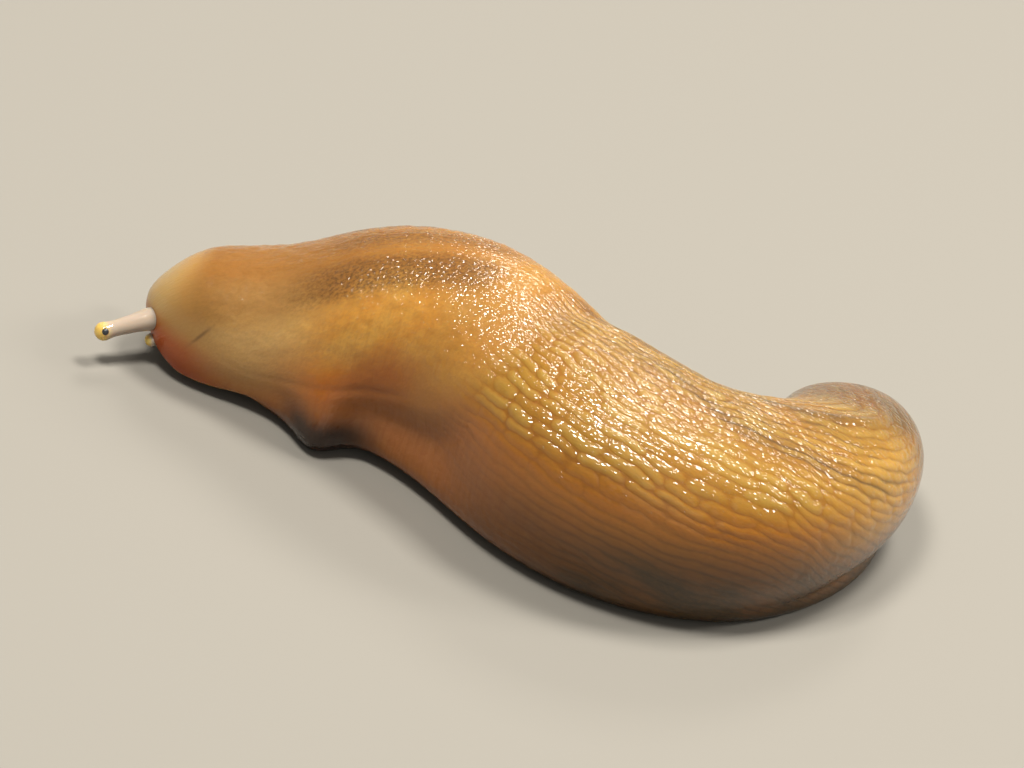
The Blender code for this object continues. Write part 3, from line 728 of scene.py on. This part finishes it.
relief = bpy.data.node_groups.new("slug relief", "GeometryNodeTree")
relief.interface.new_socket("Geometry", in_out="INPUT", socket_type="NodeSocketGeometry")
for name, value in RELIEF_INPUTS.items():
    depth = relief.interface.new_socket(name, in_out="INPUT", socket_type="NodeSocketFloat")
    depth.default_value = value
paint_socket = relief.interface.new_socket("Material", in_out="INPUT", socket_type="NodeSocketMaterial")
relief.interface.new_socket("Geometry", in_out="OUTPUT", socket_type="NodeSocketGeometry")
given = add(relief, "NodeGroupInput").node.outputs
facts_in = {name: add(relief, "GeometryNodeInputNamedAttribute", {"Name": name}, data_type="FLOAT")
            for name in (*BODY_FACTS, "feeler", "pore", "pore_rim")}
along, around, rows, edge, down, foot = (facts_in[name] for name in BODY_FACTS)
body = add(relief, MATH, (facts_in["feeler"], -0.5), operation="LESS_THAN")
print("relief inputs:", RELIEF_INPUTS)

# %% [markdown]
# The warts are strong on the back and fade towards the head, the foot and the tip of the tail, and calm
# places lie among them. Small seams take their place on the lower flank.

# %% Warts and seams
LOW_FADE = (0.5, 0.75, 1.0, 0.15)  # the warts fade down the flank
FRONT_FADE = (9.0, 18.0)  # millimetres from the snout: the flank below the mantle is nearly smooth
END_FADE = (3.5, 8.5, 0.05, 1.0)  # millimetres from the end of the tail
CALM_SCALE = 0.3  # per millimetre
CALM_RANGE = (0.38, 0.58)  # of the noise, from calm places to strong ones
LUMP_FLOOR = 0.6  # the part of a wart's height that lies below the smooth skin

bare = one_minus(mantle_share(edge, around))
trunk = times(bare, ramp(along, 4.0, 7.0))
under = times(ramp(down, *LOW_FADE), ramp(foot, 0.0, 0.6, 1.0, 0.0))
front = ramp(along, *FRONT_FADE, 0.15, 1.0)
near_end = ramp(plus(LENGTH, (along, -1.0)), *END_FADE)
spread = add(relief, "ShaderNodeCombineXYZ", (along, around))
calm = add(relief, "ShaderNodeTexNoise", {"Vector": spread, "Scale": CALM_SCALE, "Detail": 1.0})
strength = times(trunk, under, front, body, near_end, ramp(calm, *CALM_RANGE, 0.6, 1.1))

crown, number, furrow = tubercles(relief, along, rows, around)
lump = plus((crown, plus(number, 0.45)), -LUMP_FLOOR)
height = times(lump, given["Tubercle height"], strength)
low_flank = times(ramp(down, 0.6, 0.85), trunk, body)
seam = times(small_cells(relief, along, around), given["Seam depth"], low_flank)
height = plus(height, (seam, -1.0))
print("warts and seams:", len(relief.nodes), "nodes")

# %% [markdown]
# The keel rises towards the tail, the mantle gets its grain, and the breathing pore its hole and its lip.
# The heights are in millimetres until the last step.

# %% Keel, grain and pore
KEEL_WIDTH = 0.42
PORE_DEPTH = 0.5
PORE_LIP = 0.07
GRAIN = {"Vector": spread, "Scale": 2.2, "Detail": 4.0}
GRAIN_FULL = 6.0  # brings the noise, which stays near its middle, to the full height

keel = times(bell(around, 0.0, KEEL_WIDTH), ramp(along, 26.0, 34.0), near_end, body)
grain = plus(add(relief, "ShaderNodeTexNoise", GRAIN), -0.5)
grain = times(grain, ramp(edge, 0.0, 0.8), body, GRAIN_FULL)
height = plus(height, (keel, given["Keel height"]), (grain, given["Mantle grain"]))
height = plus(height, (facts_in["pore"], -PORE_DEPTH), (facts_in["pore_rim"], PORE_LIP))

lift = {0: add(relief, "GeometryNodeInputNormal"), "Scale": times(height, MM)}
offset = add(relief, "ShaderNodeVectorMath", lift, operation="SCALE")
moved = add(relief, "GeometryNodeSetPosition", {"Geometry": given["Geometry"], "Offset": offset})
real = add(relief, "GeometryNodeRealizeInstances", (moved,))
dressed = add(relief, "GeometryNodeSetMaterial", {"Geometry": real, "Material": given["Material"]})
add(relief, "NodeGroupOutput", (dressed,))
print("relief group:", len(relief.nodes), "nodes")


# %% [markdown]
# ## Wet, living skin
#
# The skin is translucent flesh under a film of slime: light enters it and spreads, red farthest, and the
# film above mirrors the lamps in small glints. Its colours are laid down by the measurements on the mesh.

# %% Measurements and patterns for the paint
def surface(name):
    """A new material with one shader: the material, its tree and the shader node."""
    made = bpy.data.materials.new(name)
    made.use_nodes = True
    made.node_tree.nodes.clear()
    light = add(made.node_tree, "ShaderNodeBsdfPrincipled")
    add(made.node_tree, "ShaderNodeOutputMaterial", {"Surface": light})
    return made, made.node_tree, light.node


def paint(ground, *coats, blend="MIX"):
    """Lays coats of colour over a ground. A coat is a share between 0 and 1 and a colour."""
    tree = tree_of(ground, *coats)
    for share, coat in coats:
        layer = {0: share, 6: ground, 7: coat}
        ground = add(tree, "ShaderNodeMix", layer, 2, data_type="RGBA", blend_type=blend)
    return ground


wet_skin, tree, shader = surface("slug skin, wet with slime")
facts_in = {name: add(tree, "ShaderNodeAttribute", out="Fac", attribute_name=name)
            for name in (*BODY_FACTS, "feeler", "mouth", "pore")}
along, around, rows, edge, down, foot = (facts_in[name] for name in BODY_FACTS)
side = add(tree, MATH, (around,), operation="ABSOLUTE")
here = add(tree, "ShaderNodeTexCoord", out="Object")
height_mm = times(add(tree, "ShaderNodeSeparateXYZ", (here,), "Z"), 1 / MM)
unrolled = add(tree, "ShaderNodeCombineXYZ", (along, around))
upright = add(tree, "ShaderNodeCombineXYZ", (times(along, 5.0), times(around, 0.7)))
patches, mottle, speckle, streaks, calm = (
    add(tree, "ShaderNodeTexNoise", {"Vector": place, "Scale": scale, "Detail": detail, "Roughness": rough})
    for place, scale, detail, rough in (
        (unrolled, 0.45, 3.0, 0.5),  # patches of some millimetres
        (unrolled, 1.6, 3.0, 0.5),  # mottling, as fine as the warts
        (unrolled, 7.0, 3.0, 0.65),  # grains of pigment
        (upright, 1.0, 3.0, 0.5),  # streaks down the flank
        (unrolled, CALM_SCALE, 1.0, 0.5),  # the same calm places as in the relief
    )
)
crown, number, furrow = tubercles(tree, along, rows, around)
seam = small_cells(tree, along, around)
print("measurements and patterns:", len(tree.nodes), "nodes")

# %% [markdown]
# ### The trunk
#
# Golden on the back, orange on the flank, olive above the foot and darkened there as painted shade, with a
# painted glow low on the rear. Places down the flank run from 0 on the back to 1 above the foot. Places along
# the body are in millimetres from the snout. The warts are paler than the skin between them and die away on
# the tip of the tail.

# %% Trunk colours
tail_fade = ramp(along, 30.5, 34.0, 1.0, 0.1)
rear_side = times(ramp(along, 26.0, 29.0), ramp(down, 0.3, 0.5), 0.4)
pale_warts = times(crown, number, ramp(down, 0.46, 0.6, 0.5, 0.0), tail_fade)
# painted light: a glow low on the rear, laid into the colour
painted_rear_glow = times(bell(along, 30.0, 2.4), ramp(down, 0.82, 0.6, 0.0, 0.6), ramp(down, 0.25, 0.4))
crest = paint(
    "#9E7428",
    (ramp(down, 0.05, 0.35), "#B88626"),
    (ramp(down, 0.42, 0.6), "#C07A24"),
    # olive above the foot, darkened towards the foot as painted shade
    (ramp(down, 0.6, 0.85), "#4F3818"),
    (rear_side, "#A8660F"),
    (ramp(along, 31.0, 34.0, 0.0, 0.95), "#624204"),
    (ramp(patches, 0.38, 0.62, 0.0, 0.25), "#B86E1C"),
    (ramp(speckle, 0.4, 0.7, 0.0, 0.22), "#8E5A1C"),
    (pale_warts, "#CCAC56"),
    (painted_rear_glow, "#EAB450"),
)
print("trunk colours:", len(tree.nodes), "nodes so far")

# %% [markdown]
# Darker furrows part the warts. They are orange on the back and olive near the foot, where only the small
# seams and the long furrows show.

# %% Furrows of the trunk
groove_colour = paint("#98561A", (ramp(down, 0.4, 0.85), "#4E3C1C"))
groove_back = times(ramp(down, 0.1, 0.3, 0.2, 0.32), ramp(down, 0.48, 0.66, 1.0, 0.1))
groove_end = times(tail_fade, ramp(along, 25.0, 30.0, 1.0, 0.7))
groove = times(ramp(crown, 0.0, 0.6, 1.0, 0.0), ramp(calm, *CALM_RANGE, 0.4, 1.1))
trunk_colour = paint(
    crest,
    (times(groove, groove_back, groove_end), groove_colour),
    (times(furrow, ramp(down, 0.5, 0.8, 0.0, 0.4)), "#3A2C12"),
    (times(seam, ramp(down, 0.6, 0.85, 0.0, 0.12)), "#3A2C12"),
)
print("with furrows:", len(tree.nodes), "nodes so far")

# %% [markdown]
# A dark line runs along the keel. On each side of it a dark band gathers in the furrows: it moves outwards
# over the rump and back towards the keel on the tail. The flank below the mantle is orange-brown, with
# fine upright streaks.

# %% Dark lines of the back, and the flank
band_place = plus(ramp(along, 21.5, 25.5, 1.6, 3.6), ramp(along, 28.5, 33.0, 0.0, -1.4))
wander = plus(side, (plus(mottle, -0.5), 0.8))
in_furrows = plus(0.28, (furrow, 0.4))
band = times(bell(wander, band_place, 0.6), ramp(along, 18.0, 24.0, 0.2, 1.0), in_furrows)
inner_lines = times(furrow, ramp(side, 4.2, 2.4), ramp(mottle, 0.42, 0.6, 0.08, 0.42))
keel_line = times(bell(around, 0.0, KEEL_WIDTH), ramp(mottle, 0.3, 0.6, 0.25, 0.6))
dark_lines = add(tree, MATH, (band, keel_line), operation="MAXIMUM")
dark_lines = add(tree, MATH, (dark_lines, inner_lines), operation="MAXIMUM")
behind = plus(along, ramp(down, 0.4, 0.7, 0.0, -4.0))
trunk_colour = paint(
    trunk_colour,
    (times(dark_lines, ramp(along, 29.5, 33.0, 1.0, 0.12)), "#3F3323"),
    (ramp(behind, 11.5, 18.5, 1.0, 0.0), paint("#A85C1A", (streaks, "#C27C3C"))),
)
print("with dark lines and flank:", len(tree.nodes), "nodes so far")

# %% [markdown]
# ### The mantle
#
# Amber, paler in front and on the rear lobe, deeper on its lower edge.

# %% Mantle ground
lower = plus(down, ramp(along, 8.0, 12.0, -0.02, 0.1))
mantle = paint(
    "#F0B450",
    (ramp(patches, 0.35, 0.65), "#E8A23E"),
    (ramp(speckle, 0.45, 0.75, 0.0, 0.3), "#E0B468"),
    (times(ramp(streaks, 0.42, 0.66, 0.0, 0.16), ramp(down, 0.25, 0.5)), "#B06A20"),
    (ramp(mottle, 0.45, 0.7, 0.0, 0.25), "#B87A30"),
    (ramp(along, 8.5, 5.0, 0.0, 0.8), "#F8CB80"),
    (ramp(along, 4.5, 1.5), "#C99A50"),
    (times(ramp(lower, 0.53, 0.74), ramp(along, 4.0, 9.0, 0.15, 0.9)), "#B8620C"),
    (times(ramp(side, 4.5, 2.5), ramp(along, 10.0, 7.0), 0.7), "#94601F"),
    (ramp(down, 0.36, 0.14, 0.0, 0.8), "#A8702C"),
    (ramp(along, 11.5, 14.5, 0.0, 0.6), "#C08A3C"),
    (times(bell(side, 0.6, 2.2), ramp(along, 13.0, 15.0), 0.6), "#D09A42"),
)
print("mantle ground:", len(tree.nodes), "nodes so far")

# %% [markdown]
# Two brown bands, bent like a lyre, and one along the middle are dusted on in fine speckles.

# %% Mantle bands
dust = ramp(speckle, 0.36, 0.66)
across = times(ramp(side, 0.9, 1.9), ramp(side, 4.0, 2.7))
lyre = times(across, ramp(along, 4.0, 8.0), ramp(along, 15.0, 13.2), 0.85)
middle_band = times(ramp(along, 5.0, 8.0), ramp(along, 14.5, 12.5), bell(around, 0.0, 0.75), 0.7)
dark = add(tree, MATH, (lyre, middle_band), operation="MAXIMUM")
dark = times(dark, plus(0.35, (dust, 0.6)))
dark = add(tree, MATH, (dark, times(dust, 0.13)), operation="MAXIMUM")
mantle = paint(mantle, (dark, "#5A3A1E"))
print("with bands:", len(tree.nodes), "nodes so far")

# %% [markdown]
# ### Head, foot and openings
#
# The head is pale on its bulb and red-brown below. The lobe of the foot is painted in deep shade, and the
# painted shade of a small fold, a brown line with no relief, marks the left side behind the bulb. Then the
# zones are put together.

# %% Put the zones together
FOLD_PLACE = (2.6, 3.85)  # along, around
FOLD_WAY = (0.73, 0.68)  # the fold slants about as much as it rises
FOLD_SIZE = (0.09, 0.5)  # across and along itself

fold_x = plus(along, -FOLD_PLACE[0])
fold_y = plus(around, -FOLD_PLACE[1])
fold_across = plus((fold_x, FOLD_WAY[0]), (fold_y, FOLD_WAY[1]))
fold_length = plus((fold_y, FOLD_WAY[0]), (fold_x, -FOLD_WAY[1]))
# painted shade of a small fold: a brown line with no relief under it
painted_fold_shade = times(bell(fold_across, 0.0, FOLD_SIZE[0]), bell(fold_length, 0.0, FOLD_SIZE[1]), 0.6)
# painted shade on the lobe of the foot, low under the mantle
lobe_shade = times(ramp(height_mm, 2.5, 1.2), ramp(along, 13.0, 9.5), ramp(along, 6.0, 7.8, 0.0, 0.95))
on_mantle = mantle_share(edge, around)
body_colour = paint(
    "#D2A25A",
    (ramp(height_mm, 2.8, 1.6), "#BC5004"),
    (times(ramp(along, 1.6, 0.6), ramp(down, 0.7, 0.5)), "#D0AA68"),
    (ramp(along, 2.0, 5.0), trunk_colour),
    (on_mantle, mantle),
    # painted shade: the foot, lowest on the body, is darkened
    (ramp(foot, 0.2, 1.0, 0.0, 0.7), "#443216"),
    (lobe_shade, "#241006"),
    (painted_fold_shade, "#5A3210"),
    # painted shade: the mouth's slit and the breathing pore are darkened like the inside of an opening
    (times(facts_in["mouth"], 0.8), "#3A1B10"),
    (times(facts_in["pore"], 0.9), "#1E120A"),
)
feeler_colour = paint("#CDBCAA", (ramp(facts_in["feeler"], 0.7, 0.95), "#FFDA70"))
on_feeler = add(tree, MATH, (facts_in["feeler"], -0.5), operation="GREATER_THAN")
dry = paint(body_colour, (on_feeler, feeler_colour))
# painted darkening of every colour, with the lamps made stronger to match, so that the glints stand out
# against the flesh
darkened_for_glints = paint(dry, (1.0, "#C4C4C4"), blend="MULTIPLY")  # wet flesh is darker than dry
tree.links.new(darkened_for_glints, shader.inputs["Base Color"])
print("all colours:", len(tree.nodes), "nodes so far")

# %% [markdown]
# ### Flesh and slime
#
# The flesh is soft and full of water: light goes about a millimetre deep, red farthest, and its own shine
# is dull and faint. The slime above it is a clear coat, nearly as smooth as glass, that gives the eye a few
# sharp mirrored lamps and nothing else.

# %% Flesh and slime
FLESH_AND_SLIME = {
    "Roughness": 0.5,
    "Specular IOR Level": 0.1,
    "Subsurface Weight": 0.45,
    "Subsurface Radius": (1.0, 0.55, 0.25),
    "Subsurface Scale": 0.9 * MM,
    "Coat Weight": 0.85,
    "Coat Roughness": 0.05,
    "Coat IOR": 1.5,
}
for name, value in FLESH_AND_SLIME.items():
    shader.inputs[name].default_value = value
print("flesh and slime:", FLESH_AND_SLIME)

# %% [markdown]
# The fine bumps repeat the warts, sharper than the mesh can carry, with the grain of the skin. On top of
# them the slime stands in tiny beads, most of all on the crowns of the warts, and each bead has its own
# glint. Real beads are finer. These are as coarse as they need to be to show.

# %% Bumps and beads
BUMP_DEPTH = 0.03 * MM
GRAINS = {"Vector": unrolled, "Scale": 6.0, "Roughness": 0.6}  # six grains in a millimetre
BEADS = {"Vector": unrolled, "Scale": 4.6, "Randomness": 1.0}  # about five beads in a millimetre
BEAD_REACH = 0.85  # where a bead's dome ends, as a share of the usual distance between beads
BEAD_DEPTH = 0.07 * MM

front_fade = ramp(along, *FRONT_FADE, 0.1, 1.0)
bumps = times(crown, one_minus(on_mantle), front_fade, ramp(down, *LOW_FADE), tail_fade)
bumps = plus(bumps, (add(tree, "ShaderNodeTexNoise", GRAINS), 0.6))
bump = add(tree, "ShaderNodeBump", {"Height": bumps, "Strength": 0.6, "Distance": BUMP_DEPTH})
tree.links.new(bump, shader.inputs["Normal"])

bead_far = add(tree, "ShaderNodeTexVoronoi", BEADS, "Distance", voronoi_dimensions="2D", feature="F1")
bead_size = add(tree, "ShaderNodeSeparateXYZ", (bead_far.node.outputs["Color"],), "Y")
bead_size = plus(0.3, (bead_size, 0.7))
bead_far = times(bead_far, 1 / BEAD_REACH)
dome = one_minus(times(bead_far, bead_far))
wet = times(ramp(down, 0.6, 0.4, 0.35, 1.0), ramp(along, 3.0, 8.0, 0.3, 1.0))
on_crowns = (plus(0.3, (crown, 0.7)), times(on_mantle, 0.5))
on_crowns = add(tree, MATH, on_crowns, operation="MAXIMUM")
film = {"Height": times(dome, bead_size, wet, on_crowns), "Normal": bump}
slime = add(tree, "ShaderNodeBump", {**film, "Strength": 1.0, "Distance": BEAD_DEPTH})
tree.links.new(slime, shader.inputs["Coat Normal"])
print("skin material:", len(tree.nodes), "nodes")

# %% [markdown]
# ## Bake the relief into a plain mesh
#
# The modifier's inputs are set before it is first evaluated. Its result becomes an ordinary mesh and the
# modifier goes. The measurements also serve as an unrolled UV map.

# %% Apply the relief
UNROLLED_SIZE = (45, 32)  # millimetres along and around that fill the UV square
FEELER_COLUMN = 0.95  # where the feelers lie on it

modifier = skin.modifiers.new("relief", "NODES")
modifier.node_group = relief
modifier[paint_socket.identifier] = wet_skin
graph = bpy.context.evaluated_depsgraph_get()
raised = skin.evaluated_get(graph)
finished = bpy.data.meshes.new_from_object(raised, preserve_all_data_layers=True, depsgraph=graph)
skin.modifiers.clear()
skin.data = finished
uv = finished.uv_layers.new(name="unrolled")
corner = np.empty(len(finished.loops), np.int32)
finished.loops.foreach_get("vertex_index", corner)
values = {}
for name in ("along", "around", "feeler"):
    values[name] = np.empty(len(finished.vertices), np.float32)
    finished.attributes[name].data.foreach_get("value", values[name])
flat_x = values["along"] / UNROLLED_SIZE[0]
flat = np.stack([flat_x, 0.5 + values["around"] / UNROLLED_SIZE[1]], axis=1)
flat[values["feeler"] >= 0, 0] = FEELER_COLUMN
uv.data.foreach_set("uv", flat[corner].astype(np.float32).ravel())
print("finished skin:", len(finished.vertices), "points, materials", [m.name for m in finished.materials])

# %% [markdown]
# The skin takes the place of every solid of flesh, as one piece that rides on the root.

# %% Hide the solids of flesh and hang the skin on the root
FLESH = [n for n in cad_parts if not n.startswith("eye_")]
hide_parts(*FLESH)
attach(skin, "root")
print("the skin stands for", len(FLESH), "solids")

# %% [markdown]
# ## Eyes
#
# The eyes are spots of black pigment near the tips of the upper feelers. They keep the solids' shape. Under
# the thin skin of the knob the pigment looks blue-black and has one dull glint.

# %% Eye material
EYE = {"Base Color": colour("#22282E"), "Roughness": 0.3, "Coat Weight": 0.3, "Coat Roughness": 0.08}

eye_black, _, eye_shader = surface("eye pigment, black under slime")
for name, value in EYE.items():
    eye_shader.inputs[name].default_value = value
for side_name in ("left", "right"):
    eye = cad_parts[f"eye_{side_name}"]
    eye.data.materials.clear()
    eye.data.materials.append(eye_black)
    for polygon in eye.data.polygons:
        polygon.use_smooth = True
print("eyes painted:", eye_black.name)

# %% [markdown]
# ## Stage, light and camera
#
# The floor is pale and matt, so it throws a little light up against the flank and no glints.

# %% Floor
floor_paint, _, floor_shader = surface("studio floor, pale matt paper")
floor_shader.inputs["Base Color"].default_value = colour("#7C7A74")
floor_shader.inputs["Roughness"].default_value = 0.9
bpy.ops.mesh.primitive_plane_add(size=3.0, location=(0, 0, 0))
floor = bpy.context.object
floor.name = "floor"
floor.data.materials.append(floor_paint)
print("floor:", floor_paint.name)

# %% [markdown]
# Four small square lamps stand above, behind and beside the slug, and a large faint one in front. Each
# small lamp gives glints on another part of the back. All of them face the slug.

# %% Lamps
WARM_WHITE = "#FFF8EE"
LAMPS = {
    # place and size in metres, power in watts, colour
    "key": ((0.08, 0.05, 0.30), 0.08, 1.15, WARM_WHITE),
    "second": ((-0.08, -0.08, 0.31), 0.08, 1.25, WARM_WHITE),
    "third": ((0.02, 0.24, 0.22), 0.08, 0.38, WARM_WHITE),
    "side": ((0.25, 0.08, 0.20), 0.07, 0.48, WARM_WHITE),
    "fill": ((0.10, -0.36, 0.16), 0.35, 0.17, "#FFFFFF"),
}

for name, (place, size, power, tint) in LAMPS.items():
    data = bpy.data.lights.new(name, "AREA")
    data.size = size
    data.energy = power
    data.color = colour(tint)[:3]
    made = bpy.data.objects.new(name, data)
    made.location = place
    made.rotation_euler = (-Vector(place)).to_track_quat("-Z", "Y").to_euler()
    bpy.context.scene.collection.objects.link(made)
world = bpy.data.worlds.new("studio")
bpy.context.scene.world = world
world.use_nodes = True
sky = world.node_tree.nodes["Background"].inputs
sky["Color"].default_value = colour("#F2EADC")
sky["Strength"].default_value = 0.34
print("lamps:", [made.name for made in bpy.data.lights])

# %% [markdown]
# The camera is a long lens held with a roll, so the slug lies aslant in the picture.

# %% Camera
ELEVATION = math.radians(30)
ROLL = math.radians(16)
DISTANCE = 0.35
PIXELS_PER_METRE = 25000
PHOTO_WIDTH = 1024
TARGET = Vector((-0.107, 4.284, 1.532)) * MM
back = Vector((0, -math.cos(ELEVATION), math.sin(ELEVATION)))
flat_right = Vector((1, 0, 0))
flat_up = back.cross(flat_right)
right = flat_right * math.cos(ROLL) + flat_up * math.sin(ROLL)
up = back.cross(right)
camera_data = bpy.data.cameras.new("camera")
camera_data.lens = PIXELS_PER_METRE * DISTANCE / PHOTO_WIDTH * camera_data.sensor_width
camera_data.clip_start = 0.01
camera = bpy.data.objects.new("camera", camera_data)
camera.matrix_world = Matrix((right, up, back)).transposed().to_4x4()
camera.location = TARGET + back * DISTANCE
bpy.context.scene.collection.objects.link(camera)
bpy.context.scene.camera = camera
bpy.context.scene.view_settings.view_transform = "Standard"
print("lens", round(camera_data.lens, 1), "mm at", DISTANCE, "m")
